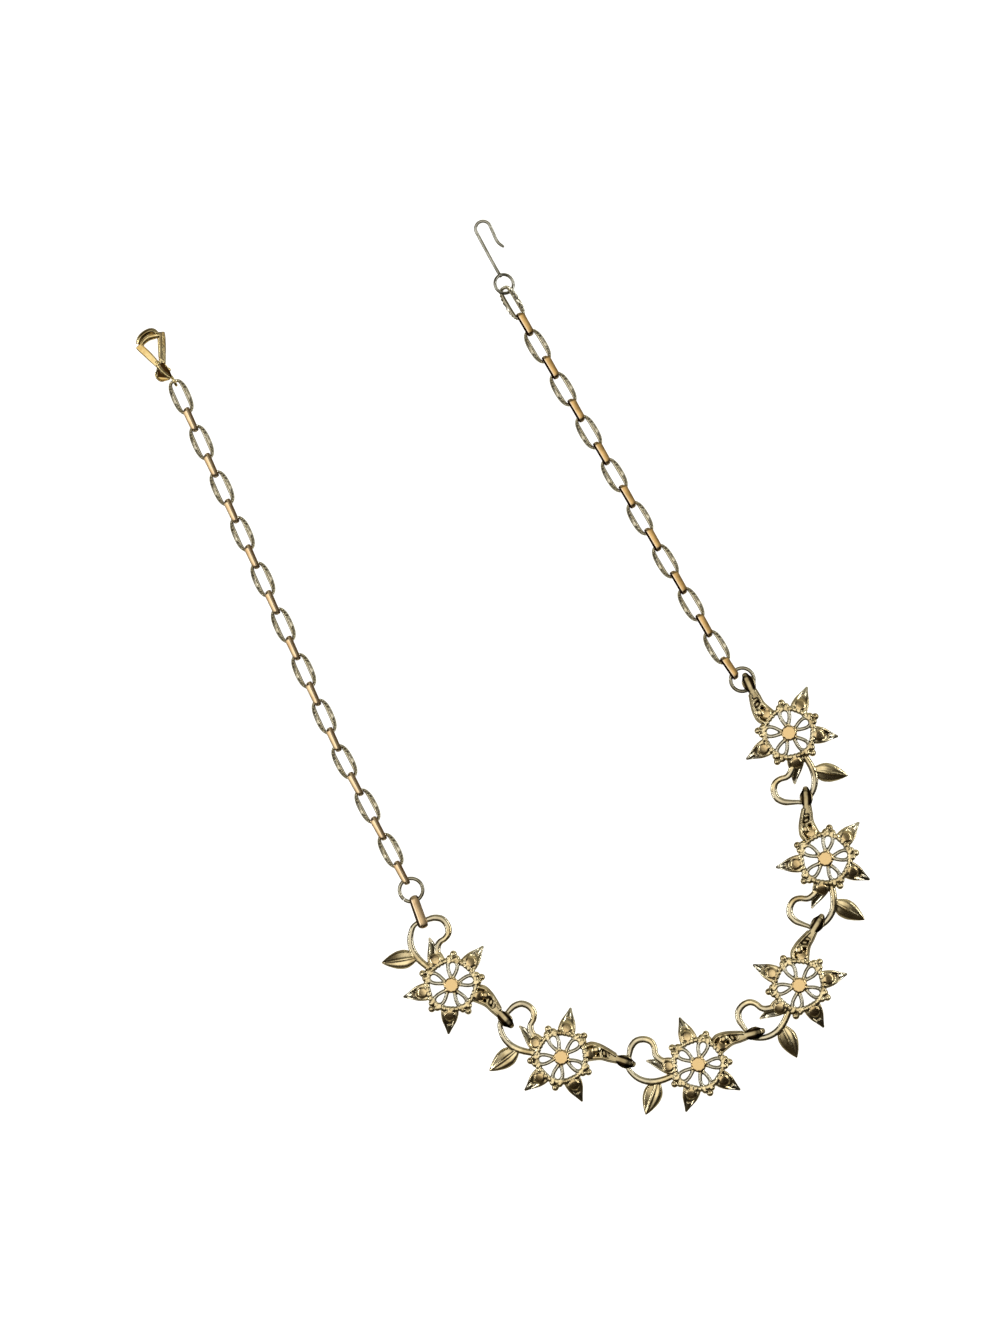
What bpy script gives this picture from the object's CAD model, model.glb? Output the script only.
import math

import bpy
import numpy as np
from mathutils import Matrix


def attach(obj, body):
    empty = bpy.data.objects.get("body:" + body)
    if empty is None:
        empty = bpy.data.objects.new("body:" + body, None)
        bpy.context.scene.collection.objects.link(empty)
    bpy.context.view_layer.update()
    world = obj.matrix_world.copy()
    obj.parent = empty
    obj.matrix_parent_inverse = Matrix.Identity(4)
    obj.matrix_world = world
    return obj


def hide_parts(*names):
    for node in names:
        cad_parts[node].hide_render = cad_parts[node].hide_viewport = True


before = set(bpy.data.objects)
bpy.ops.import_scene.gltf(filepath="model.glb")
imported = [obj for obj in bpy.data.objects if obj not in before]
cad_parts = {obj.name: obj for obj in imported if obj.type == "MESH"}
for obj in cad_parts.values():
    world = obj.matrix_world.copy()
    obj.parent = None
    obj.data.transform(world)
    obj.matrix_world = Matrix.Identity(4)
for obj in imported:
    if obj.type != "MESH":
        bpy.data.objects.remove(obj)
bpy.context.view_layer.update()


# Floor, light and camera
# The choker lies on a plain white sheet and is seen from straight above. Polished metal shows its
# surroundings: one broad lamp overhead, a pale wall towards +X and +Y and a dark room elsewhere.
# Its steep sides mirror a grey ground and not the white sheet, which would take away their outlines.

MM = 0.001


def linear(colour):
    """Linear red, green and blue of an sRGB hex colour, with an alpha of 1."""
    shares = [int(colour[i:i + 2], 16) / 255 for i in (1, 3, 5)]
    return [s / 12.92 if s <= 0.04045 else ((s + 0.055) / 1.055) ** 2.4 for s in shares] + [1.0]


def add_node(tree, kind, inputs=None, **settings):
    """Adds a node to a tree, with its settings, and its inputs set to values or linked to sockets."""
    node = tree.nodes.new(kind)
    for name, value in settings.items():
        setattr(node, name, value)
    for key, value in (inputs or {}).items():
        if isinstance(value, bpy.types.NodeSocket):
            tree.links.new(value, node.inputs[key])
        else:
            node.inputs[key].default_value = value
    return node


def set_stops(node, stops):
    """Gives a colour ramp node its stops, each a place and an sRGB hex colour."""
    elements = node.color_ramp.elements
    while len(elements) < len(stops):
        elements.new(0.5)
    for element, (place, colour) in zip(elements, stops):
        element.position = place
        element.color = linear(colour)


# The ways to the lamp and to the wall, the cosines between which the lamp's soft edge fades, and how
# far below level the ground's grey is full
lamp_toward = (-0.09, 0.11, 0.99)
lamp_edge = (0.8, 0.95)
lamp_white = "#fff8ec"
wall_toward = (0.82, 0.57, 0.0)
ground_down = -0.35
ground_grey = "#9a978b"
sky_strength = 1.3

bpy.context.scene.view_settings.view_transform = "Standard"
world = bpy.data.worlds.new("studio")
world.use_nodes = True
bpy.context.scene.world = world
sky = world.node_tree
sky.nodes.clear()
way = add_node(sky, "ShaderNodeTexCoord").outputs["Generated"]
lamp_near = add_node(sky, "ShaderNodeVectorMath", {0: way, 1: lamp_toward}, operation="DOT_PRODUCT")
wall_near = add_node(sky, "ShaderNodeVectorMath", {0: way, 1: wall_toward}, operation="DOT_PRODUCT")
lamp_share = add_node(sky, "ShaderNodeMapRange",
                      {"Value": lamp_near.outputs["Value"], "From Min": lamp_edge[0],
                       "From Max": lamp_edge[1]}, interpolation_type="SMOOTHSTEP")
wall_place = add_node(sky, "ShaderNodeMapRange", {"Value": wall_near.outputs["Value"], "From Min": -1.0})
# From straight away from the wall to straight at it
room_ramp = add_node(sky, "ShaderNodeValToRGB", {"Fac": wall_place.outputs["Result"]})
set_stops(room_ramp, [(0.0, "#3c382d"), (0.14, "#2c2519"), (0.42, "#14100b"), (0.68, "#221d14"),
                      (0.84, "#6d6a5c"), (1.0, "#b5b3a3")])
height = add_node(sky, "ShaderNodeSeparateXYZ", {0: way}).outputs["Z"]
ground_share = add_node(sky, "ShaderNodeMapRange",
                        {"Value": height, "From Min": 0.0, "From Max": ground_down})
room_colour = add_node(sky, "ShaderNodeMix", {"Factor": ground_share.outputs["Result"],
                                              "A": room_ramp.outputs["Color"],
                                              "B": linear(ground_grey)}, data_type="RGBA")
sky_colour = add_node(sky, "ShaderNodeMix", {"Factor": lamp_share.outputs["Result"],
                                             "A": room_colour.outputs["Result"],
                                             "B": linear(lamp_white)}, data_type="RGBA")
sky_light = add_node(sky, "ShaderNodeBackground",
                     {"Color": sky_colour.outputs["Result"], "Strength": sky_strength})
add_node(sky, "ShaderNodeOutputWorld", {"Surface": sky_light.outputs[0]})

# Matt white paper. It glows, so that it stays white under the dim room.
floor_half = 1.5
floor_mesh = bpy.data.meshes.new("floor")
floor_mesh.from_pydata([(x * floor_half, y * floor_half, 0) for x, y in
                        ((-1, -1), (1, -1), (1, 1), (-1, 1))], [], [(0, 1, 2, 3)])
floor = bpy.data.objects.new("floor", floor_mesh)
bpy.context.collection.objects.link(floor)
floor.visible_glossy = False
paper = bpy.data.materials.new("white_paper")
paper.use_nodes = True
paper_shader = paper.node_tree.nodes["Principled BSDF"]
paper_shader.inputs["Base Color"].default_value = linear("#f4f4f2")
paper_shader.inputs["Roughness"].default_value = 0.9
paper_shader.inputs["Emission Color"].default_value = linear("#ffffff")
paper_shader.inputs["Emission Strength"].default_value = 0.9
floor_mesh.materials.append(paper)

# Strip lights: name, place in metres, turn in degrees, size and power
strips = [
    ("strip_left", (-0.9, 0.35, 0.55), (0, -58, -22), (0.1, 0.9), 3),
    ("strip_right", (0.9, -0.2, 0.5), (0, 61, -12), (0.1, 0.8), 3)
]
for strip_name, place, turn, size, power in strips:
    strip_data = bpy.data.lights.new(strip_name, "AREA")
    strip_data.shape = "RECTANGLE"
    strip_data.size, strip_data.size_y = size
    strip_data.energy = power
    strip = bpy.data.objects.new(strip_name, strip_data)
    strip.location = place
    strip.rotation_euler = [math.radians(a) for a in turn]
    bpy.context.collection.objects.link(strip)

# The flowers and links are placed in a plan in millimetres whose zero is the photo's middle, and
# plan_middle is the frame's zero in it. The photo's upright is turned from the plan's. At 1 m, 36 mm
# of sensor behind 135 mm takes in 267 mm, as the photo does.
plan_middle = np.array((2.27, -2.375))
photo_turn = -28
camera_height = 1.0


def from_plan(place):
    """A place in the plan as metres in the frame."""
    return (np.array(place) - plan_middle) * MM


camera_data = bpy.data.cameras.new("camera")
camera_data.lens = 135
camera_data.sensor_fit = "VERTICAL"
camera_data.sensor_height = 36
camera = bpy.data.objects.new("camera", camera_data)
camera.location = (*from_plan((0, 0)), camera_height)
camera.rotation_euler = (0, 0, math.radians(photo_turn))
bpy.context.collection.objects.link(camera)
bpy.context.scene.camera = camera


# Flowers
# Each is one casting in a brass-like alloy, gilt and polished: a hub in ten openwork windows, a
# rim of granules, star points with round bosses, a scroll and a leaf. An arm on one side ends in a
# tongue that is folded round the scroll of the flower before it.

# In millimetres, as in the solid: top of the hub, the domed middle surface at the hub and at the star
# points' tips, and radius of the hub, the rim, the bosses' middles and the tips
hub_z = 3.2
crown_z = hub_z - 0.4
tip_z = 0.2
hub_r = 1.6
rim_r = 4.9
boss_r = 6.1
tip_r = 10
star_step = 72

# Closed sections of a wire in half widths and half heights, each for one kind of wire
ROUND = [(math.cos(math.radians(a)), math.sin(math.radians(a))) for a in range(0, 360, 30)]
BLADE = [(-1, -1), (-1, 0.3), (-0.6, 0.9), (0, 1.05), (0.6, 0.9), (1, 0.3), (1, -1), (0, -1.1)]
DISHED = [(-0.9, -0.9), (-1, 0.2), (-0.88, 0.9), (-0.66, 0.95), (-0.45, 0.62), (0, 0.45),
          (0.45, 0.62), (0.66, 0.95), (0.88, 0.9), (1, 0.2), (0.9, -0.9), (0, -1)]
LEAF = [(-0.8, -0.9), (-1, -0.5), (-0.93, -0.25), (-0.75, 0.2), (-0.14, 0.62), (-0.07, 0.85),
        (0.06, 0.85), (0.2, 0.7), (0.5, 0.78), (0.8, 0.6), (1, 0), (0.8, -0.9), (0, -1)]


def crown(r):
    """Height of the flower's domed middle surface at a radius."""
    return crown_z - (crown_z - tip_z) * (r / tip_r) ** 2


def curve_through(rows, closed, steps):
    """Rows on a smooth curve through the given rows, with so many steps from one to the next."""
    rows = np.array(rows, float)
    count = len(rows)
    result = []
    for i in range(count if closed else count - 1):
        near = [(i + k) % count if closed else min(max(i + k, 0), count - 1) for k in (-1, 0, 1, 2)]
        a, b, c, d = rows[near]
        for t in np.arange(steps) / steps:
            result.append(b + 0.5 * t * (c - a + t * (2 * a - 5 * b + 4 * c - d
                                                      + t * (3 * (b - c) + d - a))))
    if not closed:
        result.append(rows[-1])
    return np.array(result)


def shell_faces(count, corners, closed):
    """Faces of a shell through rows of so many corners: on to the first row again where it is
    closed, or else with a face over either end."""
    faces = []
    for i in range(count if closed else count - 1):
        k = (i + 1) % count
        for j in range(corners):
            m = (j + 1) % corners
            faces.append((i * corners + j, k * corners + j, k * corners + m, i * corners + m))
    if not closed:
        faces.append(tuple(range(corners)))
        faces.append(tuple((count - 1) * corners + j for j in reversed(range(corners))))
    return faces


def sweep(rows, section, closed=False, face=(0, 0, 1), steps=5):
    """Closed shell of a section that runs along rows of x, y, z, width and height. The width is
    square to the path and to the face direction."""
    rows = curve_through(rows, closed, steps)
    path = rows[:, :3]
    if closed:
        ahead = np.roll(path, -1, 0) - np.roll(path, 1, 0)
    else:
        ahead = np.gradient(path, axis=0)
    ahead /= np.linalg.norm(ahead, axis=1)[:, None]
    side = np.cross(np.array(face, float), ahead)
    side /= np.linalg.norm(side, axis=1)[:, None]
    up = np.cross(ahead, side)
    across = np.array(section)[None, :, 0, None] * rows[:, None, 3:4] / 2
    above = np.array(section)[None, :, 1, None] * rows[:, None, 4:5] / 2
    points = path[:, None] + side[:, None] * across + up[:, None] * above
    return points.reshape(-1, 3), shell_faces(len(rows), len(section), closed)


def dome(centre, radii, corners=30):
    """Closed round shell of three radii."""
    rings = 8
    points = [(centre[0], centre[1], centre[2] + radii[2])]
    for i in range(1, rings):
        polar = math.pi * i / rings
        for j in range(corners):
            a = 2 * math.pi * j / corners
            points.append((centre[0] + radii[0] * math.sin(polar) * math.cos(a),
                           centre[1] + radii[1] * math.sin(polar) * math.sin(a),
                           centre[2] + radii[2] * math.cos(polar)))
    points.append((centre[0], centre[1], centre[2] - radii[2]))
    faces = [(0, 1 + j, 1 + (j + 1) % corners) for j in range(corners)]
    for i in range(rings - 2):
        for j in range(corners):
            m = (j + 1) % corners
            a, b = 1 + i * corners, 1 + (i + 1) * corners
            faces.append((a + j, b + j, b + m, a + m))
    low = 1 + (rings - 2) * corners
    faces += [(len(points) - 1, low + (j + 1) % corners, low + j) for j in range(corners)]
    return np.array(points), faces


def disc(centre, radius, levels, points_round=0, cut=0.0):
    """Closed round shell through levels, each a lift and a share of the radius, with so many
    points cut round its edge."""
    corners = 60
    points = []
    for lift, share in levels:
        for k in range(corners):
            a = 2 * math.pi * k / corners
            reach = radius * share * (1 - cut * (1 - math.cos(points_round * a)))
            points.append((centre[0] + reach * math.cos(a), centre[1] + reach * math.sin(a),
                           centre[2] + lift))
    return np.array(points), shell_faces(len(levels), corners, closed=False)


def turned(shell, degrees):
    """The shell, turned about the hub."""
    a = math.radians(degrees)
    turn = np.array([[math.cos(a), -math.sin(a), 0], [math.sin(a), math.cos(a), 0], [0, 0, 1]])
    return shell[0] @ turn.T, shell[1]


def make_object(name, shells, scale=1.0):
    """One object of closed shells, with its faces turned outwards."""
    points, faces, start = [], [], 0
    for shell_points, faces_of_shell in shells:
        points.append(shell_points)
        faces += [tuple(start + i for i in face) for face in faces_of_shell]
        start += len(shell_points)
    mesh = bpy.data.meshes.new(name)
    mesh.from_pydata((np.vstack(points) * scale).tolist(), [], faces)
    piece = bpy.data.objects.new(name, mesh)
    bpy.context.collection.objects.link(piece)
    bpy.context.view_layer.objects.active = piece
    bpy.ops.object.mode_set(mode="EDIT")
    bpy.ops.mesh.select_all(action="SELECT")
    bpy.ops.mesh.normals_make_consistent(inside=False)
    bpy.ops.object.mode_set(mode="OBJECT")
    return piece


def baked_mesh(piece, name):
    """The piece's mesh with its modifiers applied, as new data. The piece itself is deleted."""
    evaluated = piece.evaluated_get(bpy.context.evaluated_depsgraph_get())
    mesh = bpy.data.meshes.new_from_object(evaluated)
    mesh.name = name
    bpy.data.objects.remove(piece)
    return mesh


def point_values(mesh, name):
    """What each point of a mesh has under a name, such as its place, in rows of x, y and z."""
    values = np.empty(len(mesh.vertices) * 3)
    mesh.vertices.foreach_get(name, values)
    return values.reshape(-1, 3)


def keep_share(mesh, name, share):
    """Keeps a share from 0 to 1 for each point of a mesh as an attribute."""
    attribute = mesh.attributes.get(name) or mesh.attributes.new(name, "FLOAT", "POINT")
    attribute.data.foreach_set("value", np.clip(share, 0, 1).astype(np.float32))


def store_hollows(mesh, reach, full):
    """Keeps how far each point lies in a hollow, from 0 to 1 at the full depth. The depth is
    measured from the mesh eased so many times over."""
    points = point_values(mesh, "co")
    count = len(points)
    ends = np.empty(len(mesh.edges) * 2, int)
    mesh.edges.foreach_get("vertices", ends)
    a, b = ends[0::2], ends[1::2]
    both, other = np.concatenate([a, b]), np.concatenate([b, a])
    degree = np.bincount(both, minlength=count)[:, None]
    eased = points.copy()
    for _ in range(reach):
        total = np.stack([np.bincount(both, eased[other, k], count) for k in range(3)], 1)
        eased = total / degree
    keep_share(mesh, "hollow", ((eased - points) * point_values(mesh, "normal")).sum(1) / full)


def brown_also(mesh, *masks):
    """Adds masks to the hollows of a mesh, whose tarnish then shows wherever one of them does."""
    hollow = np.empty(len(mesh.vertices), np.float32)
    mesh.attributes["hollow"].data.foreach_get("value", hollow)
    keep_share(mesh, "hollow", np.maximum.reduce([hollow, *masks]))


def fused_mesh(name, shells, voxel, reach, full):
    """One mesh of shells that run together where they touch, eased as a casting or a fold is, with
    its hollows kept."""
    raw = make_object(f"{name}_raw", shells)
    fuse = raw.modifiers.new("fuse", "REMESH")
    fuse.mode = "VOXEL"
    fuse.voxel_size = voxel
    ease = raw.modifiers.new("ease", "SMOOTH")
    ease.factor = 0.5
    ease.iterations = 2
    mesh = baked_mesh(raw, name)
    store_hollows(mesh, reach, full)
    mesh.shade_smooth()
    return mesh


def ramp(value, start, end):
    """From 0 at the start to 1 at the end."""
    return np.clip((value - start) / (end - start), 0, 1)


# The rim, which is ribbed all round and waves inwards at the star points
rim_ribs = 36
rim_w = 1.05
rim_h = 1.1
rim_wave = 0.12
rib_lift = 0.06
rib_swell = 0.2
rim_rows = []
for k in range(2 * rim_ribs):
    a = math.pi * k / rim_ribs
    rib = 1 if k % 2 else -1
    r = rim_r - rim_wave * math.cos(5 * a)
    rim_rows.append((r * math.cos(a), r * math.sin(a), crown(r) + rib_lift * rib,
                     rim_w + rib_swell * rib, rim_h))

# A petal loop from the hub, where it lies lower, to the rim, near which it is widest
petal_steps = 12
petal_from = hub_r * 0.8
petal_to = rim_r - 0.1
petal_half = 0.93
petal_sink = 0.3
petal_w = 0.78
petal_h = 0.95
petal_rows = []
for k in range(petal_steps):
    a = 2 * math.pi * k / petal_steps
    out = (1 - math.cos(a)) / 2
    r = petal_from + (petal_to - petal_from) * out
    aside = petal_half * math.sin(a) * (0.35 + 1.1 * out)
    petal_rows.append((r, aside, crown(r) - petal_sink * (1 - out), petal_w, petal_h))

# A star point from the rim to its tip, and the round ridge along its outer end
#   share, width, height
star_table = [
    (0, 3.2, 0.8),
    (0.2, 3.6, 1.0),
    (0.36, 3.4, 1.1),
    (0.52, 2.9, 1.1),
    (0.68, 2, 1.0),
    (0.84, 1.1, 0.8),
    (1, 0.4, 0.4)
]
star_from = rim_r - 0.6
star_to = tip_r - 0.05
star_rows = []
for share, width, high in star_table:
    r = star_from + share * (star_to - star_from)
    star_rows.append((r, 0, crown(r), width, high))
ridge_from = 7.9
ridge_half_way = 8.9
ridge_rows = [(ridge_from, 0, crown(ridge_from) + 0.1, 1.1, 0.9),
              (ridge_half_way, 0, crown(ridge_half_way) + 0.1, 0.7, 0.75),
              (tip_r - 0.1, 0, crown(tip_r) + 0.05, 0.35, 0.45)]

# The star point inside the scroll is bent towards the scroll's wire, which comes back to it. Its
# surface falls no lower than at spur_low_r.
#   x, y, width, height
spur_table = [
    (-3.5, 2.6, 3.2, 0.8),
    (-4.4, 3.25, 3.4, 1.0),
    (-5.05, 3.9, 3.3, 1.1),
    (-5.7, 4.65, 2.6, 1.1),
    (-6.3, 5.45, 1.8, 1.0),
    (-6.9, 6.3, 1.1, 0.8),
    (-7.6, 7.1, 0.35, 0.45)
]
spur_low_r = 9.3

# Three granules between two star points
#   distance out from the rim, aside, radius
granule_table = [(0.45, 0.72, 0.66), (0.45, -0.72, 0.66), (1.3, 0, 0.72)]
granule_lift = 0.05

# The hub is a disc whose bevelled edge is cut into ten points. The bosses are plainer discs that
# lie along the dome's slope.
#   lift, share of the radius
hub_levels = [(-0.85, 0.8), (-0.6, 1), (-0.38, 1.02), (-0.14, 0.9), (-0.1, 0.78), (-0.1, 0.3)]
boss_levels = [(-1.2, 0.9), (-0.5, 1.05), (-0.35, 1.05), (-0.08, 0.86), (-0.02, 0.7), (0.02, 0.3)]
hub_points = 10
hub_cut = 0.05
boss_size = 1.1
boss_lift = 0.75
boss_slope = 2 * (crown_z - tip_z) * boss_r / tip_r ** 2

# Middle line of the arm and the half distance to its rails, as in the solid
#   x, y, z, half distance
arm_table = [
    (4.7, 0.2, 1.9, 1.2),
    (6.3, 0.4, 1.9, 1.35),
    (7.9, 0.05, 1.95, 1.1),
    (9.3, -0.7, 2.1, 0.9),
    (10.9, -1.6, 2.3, 0.5)
]
arm_end = (10.6, -1.5)
arm_heading = -26
rail_w = 0.72
rail_h = 1.2
step_w = 0.6
step_h = 0.7
step_aside = 0.32
step_drop = 0.35
plate_h = 0.4
plate_drop = 0.6
bead_place = (7.05, 0.66, 2.3)
bead_radii = (0.95, 0.8, 0.55)
#   bars across the arm: row of its table, lift, height
arm_bars = [(0, 0, 0.8), (2, 0.1, 0.9), (3, 0.05, 0.8)]
bar_w = 0.66

# The tongue at the arm's end, folded under the wire that it holds
#   x, z, thickness, width
tongue_table = [
    (-1.1, 2.35, 0.75, 1.7),
    (0.3, 2.45, 0.7, 1.6),
    (1.1, 2.5, 0.75, 2.3),
    (2, 2.5, 0.8, 2.75),
    (2.8, 2.38, 0.75, 2.6),
    (3.6, 2.15, 0.7, 1.6),
    (4.1, 1.3, 0.66, 1.1),
    (3.7, 0.5, 0.62, 1.1),
    (2.6, 0.31, 0.58, 1.2),
    (-0.2, 0.31, 0.5, 0.8)
]

# Middle line of the scroll, from the rim round the big arc, the cusp and the small lobe
#   x, y, z, width
scroll_table = [
    (-4.7, 1.3, 2, 1.15),
    (-7.6, 2.2, 1.7, 1.3),
    (-9.7, 3.5, 1.4, 1.3),
    (-11, 5.4, 1.35, 1.2),
    (-11.4, 7.6, 1.35, 1),
    (-11, 8.8, 1.35, 0.86),
    (-10.2, 9.5, 1.35, 0.86),
    (-9.2, 10.4, 1.35, 1.05),
    (-8.1, 11.2, 1.35, 1.25),
    (-6.6, 11.5, 1.35, 1.3),
    (-5.2, 10.8, 1.3, 1.3),
    (-4.4, 9.5, 1.35, 1.25),
    (-4.6, 8.2, 1.4, 1.15),
    (-5.3, 7.1, 1.5, 1.15),
    (-5.4, 6, 1.6, 1.3),
    (-5, 4.8, 1.7, 1.3)
]
scroll_h = 0.95
scroll_swell = 0.12

# The leaf on the scroll's foot
#   share of its length, width, thickness
leaf_table = [
    (0, 1.3, 0.9),
    (0.13, 2.7, 1.2),
    (0.28, 3.7, 1.6),
    (0.42, 3.9, 1.7),
    (0.6, 3.45, 1.5),
    (0.82, 2, 1.0),
    (1, 0.3, 0.3)
]
leaf_base = np.array((-8.5, 2.6, 1.5))
leaf_tip = np.array((-14.6, -1.1, 0.5))

# The hub, the rim and what goes round it. Star point 0 gives way to the arm, and 2 is the bent one.
shells = [sweep(rim_rows, BLADE, closed=True, steps=2),
          disc((0, 0, hub_z), hub_r, hub_levels, hub_points, hub_cut)]
for k in range(5):
    between = star_step * (k + 0.5)
    shells.append(turned(sweep(petal_rows, BLADE, closed=True, steps=3), between))
    for out, aside, size in granule_table:
        r = rim_r + out
        granule = dome((r, aside, crown(r) + granule_lift), (size, size, size), corners=16)
        shells.append(turned(granule, between))
    if k not in (0, 2):
        shells.append(turned(sweep(star_rows, DISHED), star_step * k))
        shells.append(turned(sweep(ridge_rows, ROUND), star_step * k))
    boss_points, boss_faces = disc((boss_r, 0, crown(boss_r) + boss_lift), boss_size, boss_levels)
    boss_points[:, 2] -= boss_slope * (boss_points[:, 0] - boss_r)
    shells.append(turned((boss_points, boss_faces), star_step * k))

# The arm: two rails with an outer step below each, bars across them, an oval bead beside the first
# window, and a plate that closes the windows from below
for s in (-1, 1):
    shells.append(sweep([(x, y + s * half, z, rail_w, rail_h) for x, y, z, half in arm_table], BLADE))
    shells.append(sweep([(x, y + s * (half + step_aside), z - step_drop, step_w, step_h)
                         for x, y, z, half in arm_table], ROUND))
for row, lift, high in arm_bars:
    x, y, z, half = arm_table[row]
    shells.append(sweep([(x, y + s * half, z + lift, bar_w, high) for s in (-1, 0, 1)], BLADE))
shells.append(dome(bead_place, bead_radii))
shells.append(sweep([(x, y, z - plate_drop, 2 * half, plate_h) for x, y, z, half in arm_table], BLADE))
tongue_rows = [(x, 0, z, thick, width) for x, z, thick, width in tongue_table]
tongue_points, tongue_faces = turned(sweep(tongue_rows, ROUND, face=(0, 1, 0)), arm_heading)
shells.append((tongue_points + np.array((*arm_end, 0)), tongue_faces))

# The scroll, the leaf and the bent star point
shells.append(sweep([(x, y, z, width + scroll_swell, scroll_h) for x, y, z, width in scroll_table],
                    ROUND, steps=6))
shells.append(sweep([(*(leaf_base + share * (leaf_tip - leaf_base)), width, thick)
                     for share, width, thick in leaf_table], LEAF))
shells.append(sweep([(x, y, crown(min(math.hypot(x, y), spur_low_r)), width, high)
                     for x, y, width, high in spur_table], DISHED))

# Fused in voxels of about a ninth of a millimetre
flower_mesh = fused_mesh("flower", shells, voxel=0.115, reach=11, full=0.13)

# Where the colour differs, by place. Each ramp runs between two places in millimetres, or in
# degrees from a star point's middle line.
x, y, z = point_values(flower_mesh, "co").T
radius = np.hypot(x, y)
around = np.degrees(np.arctan2(y, x))

# The petal loops, the scroll beyond the leaf's stem and the star tips have lost their gilding, and
# the hub and bosses are polished
loops = ramp(radius, hub_r + 0.1, hub_r + 0.4) * ramp(radius, rim_r - 0.3, rim_r - 0.6)
scroll = 0.6 * ramp(y, 3, 3.8) * ramp(x, -4.5, -5.3) * ramp(radius, 7, 7.6)
tips = np.zeros(len(x))
polished = ramp(radius, hub_r, hub_r - 0.15) * ramp(z, hub_z - 0.5, hub_z - 0.25)
boss_high = ramp(z, crown(boss_r) + 0.2, crown(boss_r) + 0.4)
for k in range(5):
    aside = np.abs((around - star_step * k + 180) % 360 - 180)
    if k > 0:
        tips = np.maximum(tips, 0.7 * ramp(aside, 20, 14) * ramp(radius, 7.4, 8.4))
    star = math.radians(star_step * k)
    from_boss = np.hypot(x - boss_r * math.cos(star), y - boss_r * math.sin(star))
    polished = np.maximum(polished, 0.6 * ramp(from_boss, boss_size + 0.05, boss_size - 0.1) * boss_high)
keep_share(flower_mesh, "rubbed", np.maximum.reduce([loops, scroll, tips]))
keep_share(flower_mesh, "polished", polished)

# The neck of the arm is brown, and so is the tongue, least along its middle and less at its edges
arm_turn = math.radians(arm_heading)
ahead = (x - arm_end[0]) * math.cos(arm_turn) + (y - arm_end[1]) * math.sin(arm_turn)
aside = (y - arm_end[1]) * math.cos(arm_turn) - (x - arm_end[0]) * math.sin(arm_turn)
neck = 0.35 * ramp(x, 6.8, 8.2) * ramp(np.abs(y), 4, 3.6)
tongue_brown = ramp(ahead, -0.2, 0.8) * (0.2 + 0.6 * ramp(np.abs(aside - 0.1), 0.2, 0.45)
                                         - 0.35 * ramp(np.abs(aside), 0.85, 1.1))
brown_also(flower_mesh, neck, tongue_brown)


def gold(name, bright, shade, roughness, grain_mm, grain_depth_mm, tarnish=None, worn=()):
    """Gilt alloy: a bright gold that turns darker in slow patches, grain from the polishing mop,
    tarnish in the hollows where no cloth reaches, and other colours where it is worn. The real
    grain is finer than a tenth of a millimetre and wouldn't show, so it is drawn coarser."""
    patch_mm = 2.5
    tarnish_from = 0.12
    tarnish_full = 0.75
    material = bpy.data.materials.new(name)
    material.use_nodes = True
    tree = material.node_tree
    shader = tree.nodes["Principled BSDF"]
    shader.inputs["Metallic"].default_value = 1.0
    place = add_node(tree, "ShaderNodeTexCoord").outputs["Object"]
    patches = add_node(tree, "ShaderNodeTexNoise",
                       {"Vector": place, "Scale": 1 / (patch_mm * MM), "Detail": 3.0})
    patch_ramp = add_node(tree, "ShaderNodeValToRGB", {"Fac": patches.outputs["Fac"]})
    set_stops(patch_ramp, [(0.35, shade), (0.6, bright)])
    colour = patch_ramp.outputs["Color"]
    for attribute_name, worn_colour in worn:
        share = add_node(tree, "ShaderNodeAttribute", attribute_name=attribute_name)
        mix = add_node(tree, "ShaderNodeMix", {"Factor": share.outputs["Fac"], "A": colour,
                                               "B": linear(worn_colour)}, data_type="RGBA")
        colour = mix.outputs["Result"]
    if tarnish:
        depth = add_node(tree, "ShaderNodeAttribute", attribute_name="hollow")
        share = add_node(tree, "ShaderNodeMapRange", {"Value": depth.outputs["Fac"],
                                                      "From Min": tarnish_from,
                                                      "From Max": tarnish_full})
        mix = add_node(tree, "ShaderNodeMix", {"Factor": share.outputs["Result"], "A": colour,
                                               "B": linear(tarnish)}, data_type="RGBA")
        colour = mix.outputs["Result"]
    tree.links.new(colour, shader.inputs["Base Color"])
    grain = add_node(tree, "ShaderNodeTexNoise",
                     {"Vector": place, "Scale": 1 / (grain_mm * MM), "Detail": 4.0, "Roughness": 0.6})
    wear = add_node(tree, "ShaderNodeMapRange", {"Value": grain.outputs["Fac"], "To Min": roughness * 0.7,
                                                 "To Max": roughness * 1.5})
    tree.links.new(wear.outputs["Result"], shader.inputs["Roughness"])
    bump = add_node(tree, "ShaderNodeBump", {"Height": grain.outputs["Fac"], "Strength": 0.5,
                                             "Distance": grain_depth_mm * MM})
    tree.links.new(bump.outputs["Normal"], shader.inputs["Normal"])
    return material


# Gilt casting: pale gold where the mop reached, nearly black in the hollows, grey where it is rubbed
cast_gold = gold("gilt_casting", "#eedfb4", "#b8a67c", roughness=0.2, grain_mm=0.35,
                 grain_depth_mm=0.02, tarnish="#20160a",
                 worn=(("rubbed", "#c4c0ae"), ("polished", "#d8bd8b")))

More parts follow.
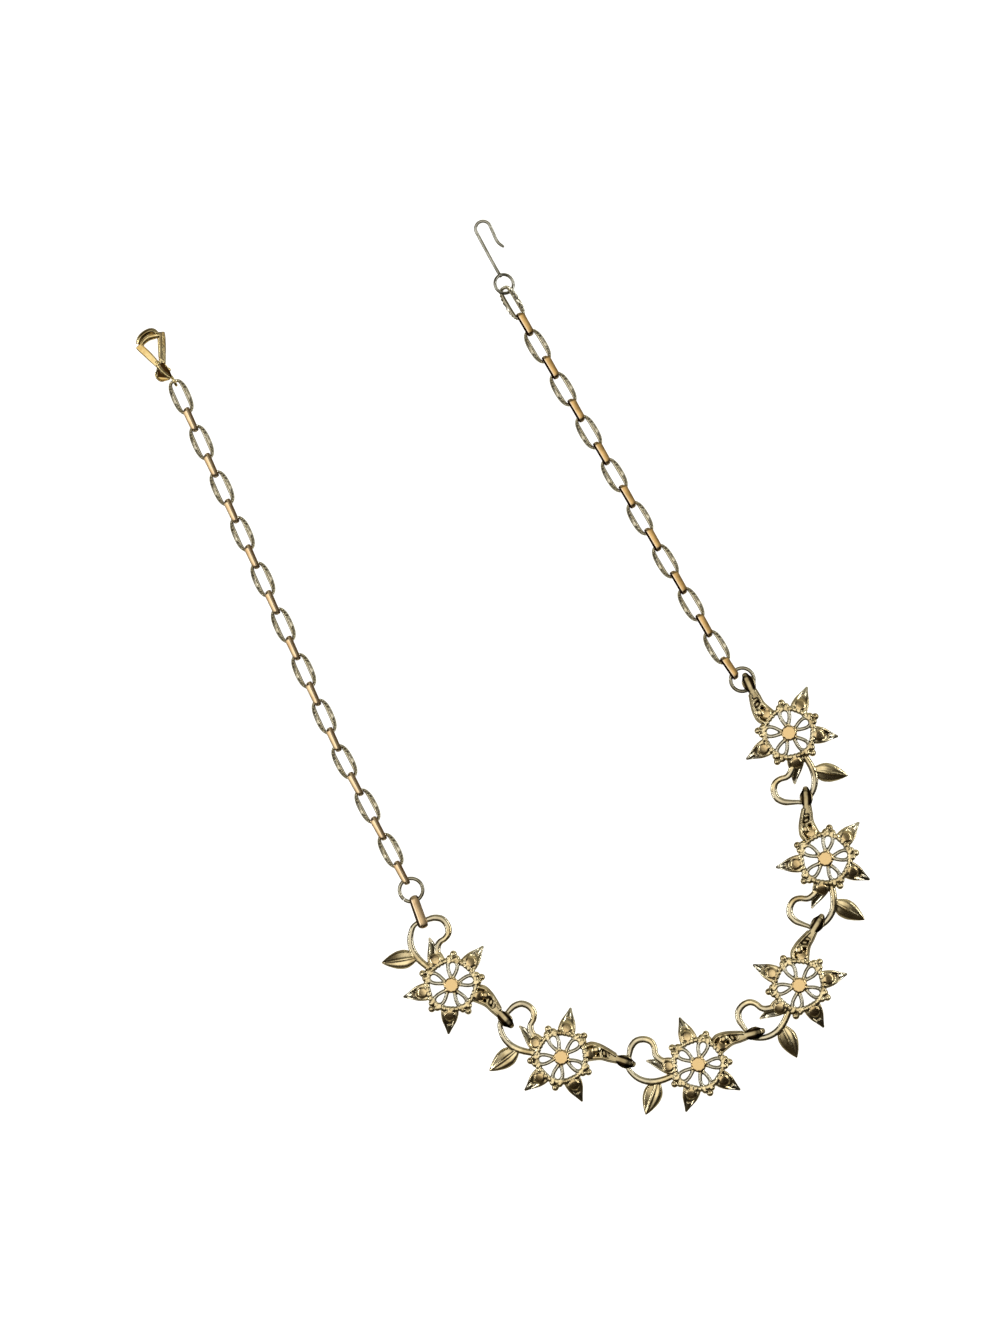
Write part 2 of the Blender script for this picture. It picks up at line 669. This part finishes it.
# Hub of each flower in the plan and the heading of its arm's root, as in the solids
#   x, y, heading
flowers = [
    (44.7, -38.8, 112),
    (39.35, -64.35, 90.5),
    (22.85, -84.2, 56.4),
    (-2.3, -88.7, 12),
    (-25.8, -74.6, -21),
    (-38.4, -51.6, -49.5)
]
for k, (x, y, heading) in enumerate(flowers, 1):
    mesh = flower_mesh.copy()
    mesh.transform(Matrix.Translation((*from_plan((x, y)), 0))
                   @ Matrix.Rotation(math.radians(heading), 4, "Z") @ Matrix.Scale(MM, 4))
    mesh.materials.clear()
    mesh.materials.append(cast_gold)
    flower = bpy.data.objects.new(f"flower_{k}_casting", mesh)
    bpy.context.collection.objects.link(flower)
    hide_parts(f"flower_{k}")
    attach(flower, "root")
bpy.data.meshes.remove(flower_mesh)


# Open links
# Each is a flat ellipse of gilt wire whose long sides are diamond cut all over, in notches under a
# millimetre apart, so that it glitters. They alternate with the band links, 11 on the left chain
# and 9 on the right, where the last one leans on its edge in the hook's eye.

# Length, width, thickness, height and lean in millimetres and degrees, as in the solids
open_l = 7.5
open_w = 3.9
open_t = 0.7
window_w = 1.7
band_l = 5.3
band_h = 2.6
band_t = 0.5
band_w = 0.9
band_lean = 16
play = 0.2
bend_slack = 0.12
ring_d = 5.4
ring_t = 0.75
half_pitch = (open_l + band_l) / 2 - open_t - band_t - play
first_band = ring_d / 2 - ring_t - play + band_l / 2 - band_t
band_z = (band_h * math.cos(math.radians(band_lean))
          + band_w * math.sin(math.radians(band_lean))) / 2
open_below = 0.1
open_z = band_z - open_below
end_lean = 35
end_rise = 0.15

# Each chain as in the solids, and how its band links lean
#   start x, start y, first heading, links on it, later heading, pairs, lean
chains = {
    "left": (-36.65, -31.1, 89.5, 6, 86.1, 11, band_lean),
    "right": (40.75, -25.65, 97, 1, 92.75, 9, -band_lean)
}


def toward(heading):
    """One millimetre along a heading in the plan."""
    return np.array((math.cos(math.radians(heading)), math.sin(math.radians(heading))))


def spot(side, n):
    """Middle of a chain's link n in the plan, and its heading. Even links are bands."""
    x, y, early, bent, late = chains[side][:5]
    first = min(n, bent - 1)
    rest = (n - first) * half_pitch - (bend_slack if n > first else 0)
    place = np.array((x, y)) + (first_band + first * half_pitch) * toward(early) + rest * toward(late)
    return place, (early if n < bent else late)


def squared(value, power):
    """A sine or cosine to a power, with its sign kept. A power under 1 makes an oval squarer."""
    return math.copysign(abs(value) ** power, value)


def open_link_shell():
    """Elliptical link with a squarer window, a groove along its wire and notches cut across its
    outer ridge, and how deep each of its points lies in them."""
    cuts = 26
    per_cut = 6
    outline_power = 0.8
    window_power = 0.4
    notch_down = 0.2
    notch_in_x = 0.02
    notch_in_y = 0.07
    # Inner to outer edge, then back below: share of the wire's width and of its half height,
    # share of the notches' depth, and depth in the groove
    section = [(0, -0.7, 0, 0.6), (0, 0.4, 0, 0.8), (0.1, 0.8, 0, 0.4), (0.22, 0.9, 0, 0),
               (0.36, 0.5, 0.2, 0.8), (0.5, 0.95, 0.8, 0.0), (0.72, 1, 1, 0), (0.9, 0.85, 1, 0),
               (1, 0.3, 0.8, 0.1), (1, -0.6, 0, 0.2), (0.8, -1, 0, 0.6), (0.15, -1, 0, 0.6)]
    points, depths = [], []
    for i in range(cuts * per_cut):
        a = 2 * math.pi * i / (cuts * per_cut)
        across, up = math.cos(a), math.sin(a)
        outer = np.array((squared(across, outline_power) * open_l / 2,
                          squared(up, outline_power) * open_w / 2))
        inner = np.array((squared(across, window_power) * (open_l / 2 - open_t),
                          squared(up, window_power) * window_w / 2))
        # Each notch deepens to its middle, and they fade out at the link's two ends
        cut = (1 - abs(2 * (i % per_cut) / per_cut - 1)) * min(1, abs(up) * 2.2)
        for share, level, cut_share, groove in section:
            x, y = inner + share * (outer - inner)
            notch = cut * cut_share
            points.append((x * (1 - notch_in_x * notch), y * (1 - notch_in_y * notch),
                           level * open_t / 2 - notch_down * notch))
            depths.append(max(groove, 0.5 * notch))
    faces = shell_faces(cuts * per_cut, len(section), closed=True)
    return (np.array(points), faces), depths


def chain_tree():
    """Geometry nodes that set a copy of one link on each point, turned by the point's own turn."""
    tree = bpy.data.node_groups.new("links_on_points", "GeometryNodeTree")
    for name, kind in (("Points", "NodeSocketGeometry"), ("Link", "NodeSocketObject"),
                       ("Finish", "NodeSocketMaterial")):
        tree.interface.new_socket(name, in_out="INPUT", socket_type=kind)
    tree.interface.new_socket("Geometry", in_out="OUTPUT", socket_type="NodeSocketGeometry")
    given = add_node(tree, "NodeGroupInput").outputs
    turn = add_node(tree, "GeometryNodeInputNamedAttribute", {"Name": "turn"}, data_type="FLOAT_VECTOR")
    link = add_node(tree, "GeometryNodeObjectInfo", {"Object": given["Link"]})
    copies = add_node(tree, "GeometryNodeInstanceOnPoints",
                      {"Points": given["Points"], "Instance": link.outputs["Geometry"],
                       "Rotation": turn.outputs["Attribute"]})
    real = add_node(tree, "GeometryNodeRealizeInstances", {0: copies.outputs[0]})
    coated = add_node(tree, "GeometryNodeSetMaterial", {"Geometry": real.outputs[0],
                                                        "Material": given["Finish"]})
    add_node(tree, "NodeGroupOutput", {0: coated.outputs[0]})
    return tree


links_on_points = chain_tree()


def lay_links(name, link, side, numbers, z, lean, finish, nodes):
    """Lays copies of a link at the numbered places of a chain, to stand for their nodes."""
    spots = [spot(side, n) for n in numbers]
    holder_mesh = bpy.data.meshes.new("holder")
    holder_mesh.from_pydata([(*from_plan(place), z * MM) for place, heading in spots], [], [])
    turns = holder_mesh.attributes.new("turn", "FLOAT_VECTOR", "POINT")
    turns.data.foreach_set("vector", [v for place, heading in spots
                                      for v in (math.radians(lean), 0, math.radians(heading))])
    holder = bpy.data.objects.new("holder", holder_mesh)
    bpy.context.collection.objects.link(holder)
    copies = holder.modifiers.new("copies", "NODES")
    copies.node_group = links_on_points
    values = {"Link": link, "Finish": finish}
    for item in links_on_points.interface.items_tree:
        if item.name in values:
            copies[item.identifier] = values[item.name]
    chain = bpy.data.objects.new(name, baked_mesh(holder, name))
    bpy.context.collection.objects.link(chain)
    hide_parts(*nodes)
    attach(chain, "root")


def facet(mesh, degrees):
    """Smooth faces, with a crease wherever two of them meet at more than so many degrees."""
    mesh.shade_smooth()
    mesh.set_sharp_from_angle(angle=math.radians(degrees))


# Diamond-cut gilt: nearly white, because every small cut throws back the lamp
cut_gold = gold("diamond_cut_gilt", "#fffbea", "#f6f0d8", roughness=0.28, grain_mm=0.5,
                grain_depth_mm=0.006, tarnish="#7d7250")
link_shell, link_depths = open_link_shell()
open_link = make_object("open_link", [link_shell], MM)
keep_share(open_link.data, "hollow", link_depths)
facet(open_link.data, 14)
left_pairs = chains["left"][5]
right_pairs = chains["right"][5]
left_last = 2 * left_pairs - 1
right_last = 2 * right_pairs - 1
lay_links("left_open_links", open_link, "left", range(1, left_last + 1, 2), open_z, 0, cut_gold,
          [f"left_open_{k}" for k in range(1, left_pairs + 1)])
lay_links("right_open_links", open_link, "right", range(1, right_last, 2), open_z, 0, cut_gold,
          [f"right_open_{k}" for k in range(1, right_pairs)])
lay_links("hook_end_link", open_link, "right", [right_last], open_z + end_rise, -end_lean, cut_gold,
          [f"right_open_{right_pairs}"])
bpy.data.objects.remove(open_link)


# Band links and the end bail
# Each is a smooth strip of gilt sheet bent to an oval and stood on its edge. Its upper side is
# pressed to a roof, so that a broad facet and a narrow one show from above with a bright ridge
# between them. The bail between the left ring and the last flower is a larger one.

def band_shell(length, height, wide, facets, ridge, tarnish):
    """Oval band on edge: a strip that is wider and roofed along its upper side, and how deep each
    of its points lies in tarnish. Each facet beside the ridge has a width at each end."""
    per_bend = 16
    per_side = 14
    squareness = 0.55
    roof = 0.34
    bend = height / 2 - band_t / 2
    straight = length / 2 - height / 2
    # Each row's x and z, and the way outwards from it
    rows = []
    for side in (1, -1):
        for i in range(per_side):
            x = side * straight * (1 - 2 * i / per_side)
            rows.append((x, side * bend, 0, side))
        for i in range(per_bend):
            a = math.pi * i / per_bend
            across, up = math.sin(a), math.cos(a)
            out_x = across ** (2 - squareness)
            out_z = squared(up, 2 - squareness)
            reach = math.hypot(out_x, out_z)
            rows.append((-side * (straight + bend * across ** squareness),
                         side * bend * squared(up, squareness),
                         -side * out_x / reach, side * out_z / reach))
    # Across the strip: share of a facet's width, and of the thickness outwards
    section = [(-1, -0.1), (-0.96, 0.2), (-0.55, 0.42), (-0.28, 0.45), (-0.16, 0.47), (-0.06, 0.5),
               (0.06, 0.5), (0.16, 0.47), (0.28, 0.45), (0.55, 0.42), (0.96, 0.2), (1, -0.1),
               (0.85, -0.45), (0.4, -0.5), (-0.4, -0.5), (-0.85, -0.45)]
    points, depths = [], []
    for x, z, out_x, out_z in rows:
        # The roof is full on top and gone where the strip has turned down at either end
        share = ramp(length / 2 - abs(x), 0.05, 0.35)
        share = share * share * (3 - 2 * share) * max(out_z, 0)
        along = 0.5 + x / length
        for across, out in section:
            near, far = facets[0] if across < 0 else facets[1]
            half = wide / 2 + (near + (far - near) * along - wide / 2) * share
            out_mm = out * band_t - roof * share * abs(across) * half
            points.append((x + out_x * out_mm, across * half + ridge * share, z + out_z * out_mm))
            side_tarnish = tarnish[0 if across < 0 else 1] * min(abs(across) / 0.3, 1)
            depths.append(max(side_tarnish, 0.5 * (1 - share)) if out > 0 else 0.8)
    return (np.array(points), shell_faces(len(rows), len(section), closed=True)), depths


def band_object(name, length, height, wide, facets, ridge, tarnish, crease):
    """A band's object, with its tarnish and the ridge that wear keeps bright as shares."""
    shell, depths = band_shell(length, height, wide, facets, ridge, tarnish)
    band = make_object(name, [shell], MM)
    x, y, z = point_values(band.data, "co").T / MM
    keep_share(band.data, "hollow", depths)
    keep_share(band.data, "polished", ramp(np.abs(y - ridge), 0.24, 0.1) * ramp(z, 0.5, 0.8))
    facet(band.data, crease)
    return band


# Polished gilt strip: a warm yellow with a bright ridge, brown where it turns away. The left
# chain's is paler.
band_gold = gold("polished_gilt_band", "#e2bb7c", "#bf9d64", roughness=0.2, grain_mm=0.6,
                 grain_depth_mm=0.006, tarnish="#3d1f0a", worn=(("polished", "#ffe6c0"),))
pale_gold = gold("pale_gilt_band", "#fbe0b4", "#e6c294", roughness=0.2, grain_mm=0.6,
                 grain_depth_mm=0.006, tarnish="#4a2c14", worn=(("polished", "#ffe9c9"),))

# Both sides of the ridge have their facet's widths at its two ends, and their tarnish
#   chain, facets, shift of the ridge, tarnish, finish
band_kinds = [
    ("left", ((0.8, 0.85), (0.65, 0.8)), 0.4, (0.62, 0), pale_gold),
    ("right", ((1.0, 1.15), (0.62, 0.55)), -0.14, (0.1, 1), band_gold)
]
for side, facets, ridge, tarnish, finish in band_kinds:
    band_link = band_object("band_link", band_l, band_h, band_w, facets, ridge, tarnish, crease=16)
    pairs, lean = chains[side][5:]
    lay_links(f"{side}_band_links", band_link, side, range(0, 2 * pairs, 2), band_z, lean, finish,
              [f"{side}_band_{k}" for k in range(1, pairs + 1)])
    bpy.data.objects.remove(band_link)

bail_l = 6.9
bail_h = 3
bail_w = 1.2
bail_lean = math.radians(12)
bail_heading = -98
bail_play = 0.3
bail_reach = ring_d / 2 - ring_t - bail_play + bail_l / 2 - band_t
bail_z = (bail_h * math.cos(bail_lean) + bail_w * math.sin(bail_lean)) / 2
left_ring = np.array(chains["left"][:2])
bail = band_object("end_bail_strip", bail_l, bail_h, bail_w, facets=((0.55, 0.7), (1.2, 1.4)),
                   ridge=-0.3, tarnish=(0.6, 0), crease=22)
bail_place = from_plan(left_ring + bail_reach * toward(bail_heading))
bail.data.transform(Matrix.Translation((*bail_place, bail_z * MM))
                    @ Matrix.Rotation(math.radians(bail_heading), 4, "Z")
                    @ Matrix.Rotation(bail_lean, 4, "X"))
bail.data.materials.append(pale_gold)
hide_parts("end_bail")
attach(bail, "root")


# Jump rings
# Each is a turn of drawn wire, paler than the rest, bent round until its sawn ends butt together.
# It is set with the joint to one side.

def tube(rows, closed=False, face=(0, 0, 1), steps=4):
    """Round wire along rows of x, y, z and diameter."""
    sides = 14
    section = [(math.cos(2 * math.pi * j / sides), math.sin(2 * math.pi * j / sides))
               for j in range(sides)]
    return sweep([(x, y, z, d, d) for x, y, z, d in rows], section, closed, face, steps)


# Drawn wire with little gilding left: a pale grey with a breath of yellow
ring_gold = gold("pale_drawn_wire", "#aeaa97", "#7f7b69", roughness=0.22, grain_mm=0.8,
                 grain_depth_mm=0.006)
ring_r = (ring_d - ring_t) / 2
right_ring = np.array((41.5, -25.05))
joint_gap = 1.2
for side, centre, joint in (("left", left_ring, 205), ("right", right_ring, 320)):
    turns = np.radians(np.linspace(joint + joint_gap, joint + 360 - joint_gap, 60))
    wire = tube([(ring_r * math.cos(a), ring_r * math.sin(a), 0, ring_t) for a in turns], steps=2)
    ring = make_object(f"ring_{side}_wire", [wire], MM)
    ring.data.transform(Matrix.Translation((*from_plan(centre), open_z * MM)))
    facet(ring.data, 40)
    ring.data.materials.append(ring_gold)
    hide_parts(f"ring_{side}")
    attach(ring, "root")


# Hook
# One length of plated wire: its end is turned to a round eye and soldered, and the shank comes
# down to the surface and turns back beside itself to a short tip that leans outwards.

hook_t = 0.65
eye_d = 4.5
eye_lean = math.radians(20)
bend_r = 1.5
hook_reach = 11.8
tip_start = 3.4
tip_back = 5.2
eye_play = 0.28
eye_aside = 0.6
eye_drop = 0.12
eye_z = open_z + end_rise - eye_drop
eye_r = (eye_d - hook_t) / 2
low = hook_t / 2
far = 2 * bend_r
eye_rows = [(eye_r * math.cos(a) * math.cos(eye_lean), eye_r * math.sin(a),
             eye_z - eye_r * math.cos(a) * math.sin(eye_lean), hook_t)
            for a in np.radians(np.arange(0, 360, 15))]
shank_rows = [(0.15, eye_r - 0.05, eye_z - 0.03, hook_t), (0.05, 3, eye_z - 0.28, hook_t),
              (0, 7, low + 0.4, hook_t), (0, hook_reach - 1.5, low + 0.05, hook_t)]
bend_rows = [(bend_r + bend_r * math.cos(a), hook_reach + bend_r * math.sin(a), low, hook_t)
             for a in np.radians(np.arange(180, -1, -20))]
tip_rows = [(far - 0.1, hook_reach - 1.8, low, hook_t), (far - 0.2, hook_reach - tip_start, low, hook_t),
            (far + 0.1, hook_reach - 4.5, low, hook_t * 0.95),
            (far + 0.5, hook_reach - tip_back, low, hook_t * 0.7)]
solder = dome((0.1, eye_r, eye_z - 0.02), (0.45, 0.5, 0.4), corners=20)
hook = make_object("hook_wire", [
    tube(eye_rows, closed=True, face=(math.sin(eye_lean), 0, math.cos(eye_lean)), steps=3),
    tube(shank_rows + bend_rows + tip_rows), solder], MM)
eye_reach = (open_l / 2 - open_t - play - hook_t / 2 - eye_play
             + math.sqrt(eye_r ** 2 - eye_aside ** 2))
link_place, heading = spot("right", right_last)
eye_place = from_plan(link_place + eye_reach * toward(heading) + eye_aside * toward(heading - 90))
hook.data.transform(Matrix.Translation((*eye_place, 0)))
facet(hook.data, 50)

# Plated wire, rubbed until it is a cooler grey than the rings
hook_steel = gold("rubbed_plated_wire", "#b4b3a8", "#8b8a7e", roughness=0.24, grain_mm=0.3,
                  grain_depth_mm=0.012)
hook.data.materials.append(hook_steel)
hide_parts("hook")
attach(hook, "root")


# Catch
# Stamped and folded from one piece of gilt sheet: a kite-shaped tab with a ridge down its middle,
# two strips that part from its neck, and a rolled bar across their ends. A small eye stands on the
# tab's foot and passes through the last link.

# Sections of the plain strip, of the one with a folded-over side, and of the tab with two sunk panels
SHEET = [(-1, -1), (-1, 0.55), (-0.8, 0.85), (0.75, 1), (1, 0.8), (1, -1)]
FOLDED = [(-1, -1), (-1, 0.9), (-0.8, 1.0), (-0.55, 0.9), (-0.4, 0.75), (0.75, 0.4), (1, 0.05), (1, -1)]
PANEL = [(-1, -1), (-1, 0.6), (-0.9, 0.9), (-0.76, 0.4), (0, 0.45), (0.76, 0.4), (0.88, 0.95), (1, 0.6),
         (1, -1)]
strip_z = 1

# Middle lines of the strips, of the roll and the lip beside it, and of the tab and its ridge
#   x, y, z, width, height
left_strip = [(-1.35, 4.3, strip_z, 1.1, 1.6), (-1.8, 5.9, strip_z, 1.4, 1.6),
              (-2.25, 7.4, strip_z, 1.5, 1.6), (-2.75, 8.8, strip_z, 1.5, 1.6),
              (-3, 9.6, strip_z, 1.4, 1.6)]
right_strip = [(-0.35, 4.2, strip_z, 1.2, 1.6), (0.25, 5.6, strip_z, 1.5, 1.7),
               (1.1, 7.3, strip_z, 1.6, 1.7), (1.85, 8.9, strip_z, 1.6, 1.7),
               (2.3, 9.9, strip_z, 1.4, 1.7)]
roll = [(-2.85, 9.85, 1.1, 1.0, 1.8), (-2.1, 10.65, 1.1, 1.2, 2), (-1, 11.05, 1.1, 1.3, 2.05),
        (0.2, 11.1, 1.1, 1.3, 2.05), (1, 10.75, 1.1, 1.2, 2), (1.45, 10.0, 1.1, 0.9, 1.8)]
lip = [(-2.6, 9.3, 1.0, 0.7, 1.5), (-1.6, 9.85, 1.0, 1.2, 1.55), (-0.4, 10.1, 1.0, 1.4, 1.55),
       (0.8, 9.8, 1.0, 1.3, 1.5), (1.7, 9.4, 1.0, 0.8, 1.5)]
tab = [(-0.25, 0.95, 1.1, 1.0, 0.9), (-0.75, 1.6, 1.1, 2.4, 0.9), (-1.2, 2.3, 1.1, 3.5, 0.95),
       (-1, 3.1, 1.1, 2.6, 0.95), (-0.85, 4, 1.1, 1.9, 1.1), (-0.85, 5, 1.1, 1.7, 1.3)]
tab_ridge = [(-0.45, 1, 1.4, 0.4, 0.7), (-1.1, 2.5, 1.55, 0.5, 0.8), (-1.4, 3.8, 1.6, 0.45, 0.9),
             (-1.3, 5, 1.6, 0.4, 0.9)]
catch_eye_d = 2.5
catch_eye_t = 0.55
catch_eye_r = (catch_eye_d - catch_eye_t) / 2
catch_eye = tube([(0, catch_eye_r * math.cos(a), open_z + catch_eye_r * math.sin(a), catch_eye_t)
                  for a in np.radians(np.arange(0, 360, 20))], closed=True, face=(1, 0, 0), steps=2)
catch_mesh = fused_mesh("catch_sheet", [
    sweep(left_strip, SHEET), sweep(right_strip, FOLDED), sweep(roll, ROUND), sweep(lip, ROUND),
    sweep(tab, PANEL), sweep(tab_ridge, ROUND), catch_eye], voxel=0.08, reach=14, full=0.12)


def along_y(y, rows, column=0):
    """What a column of rows comes to at each y, between one row and the next."""
    return np.interp(y, [row[1] for row in rows], [row[column] for row in rows])


# The broad outer side of the right strip, the roll and the tab's two panels have gone brown
#   x, y, half width of the panels inside the tab's edges
tab_panels = [(-0.25, 0.95, 0.4), (-1.2, 2.3, 1.5), (-0.85, 4, 0.75), (-0.85, 5, 0.6)]
x, y, z = point_values(catch_mesh, "co").T
brown_strip = 0.5 * ramp(x - along_y(y, right_strip), -0.35, -0.15) * ramp(y, 4, 4.5)
brown_roll = 0.5 * ramp(y + 0.25 * x * x, 10.65, 10.85) * ramp(x, -2.1, -1.6)
ridge_side = np.abs(x - along_y(y, tab_ridge))
rim_side = along_y(y, tab_panels, 2) - np.abs(x - along_y(y, tab_panels))
brown_tab = 0.9 * ramp(ridge_side, 0.3, 0.45) * ramp(rim_side, 0, 0.15) * ramp(y, 4.6, 4.2) * (y > 1)
brown_also(catch_mesh, brown_strip, brown_roll, brown_tab)

catch_play = 0.3
catch_reach = open_l / 2 - open_t - catch_play - catch_eye_t + catch_eye_d / 2
link_place, heading = spot("left", left_last)
catch_place = from_plan(link_place + catch_reach * toward(heading))
catch_mesh.transform(Matrix.Translation((*catch_place, 0)) @ Matrix.Scale(MM, 4))

# Folded gilt sheet: a clear yellow on its ridges and edges, deep brown in its folds
catch_gold = gold("folded_gilt_sheet", "#f4e3ae", "#cfb170", roughness=0.2, grain_mm=0.5,
                  grain_depth_mm=0.01, tarnish="#35230d")
catch_mesh.materials.append(catch_gold)
catch = bpy.data.objects.new("catch_sheet", catch_mesh)
bpy.context.collection.objects.link(catch)
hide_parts("catch")
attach(catch, "root")
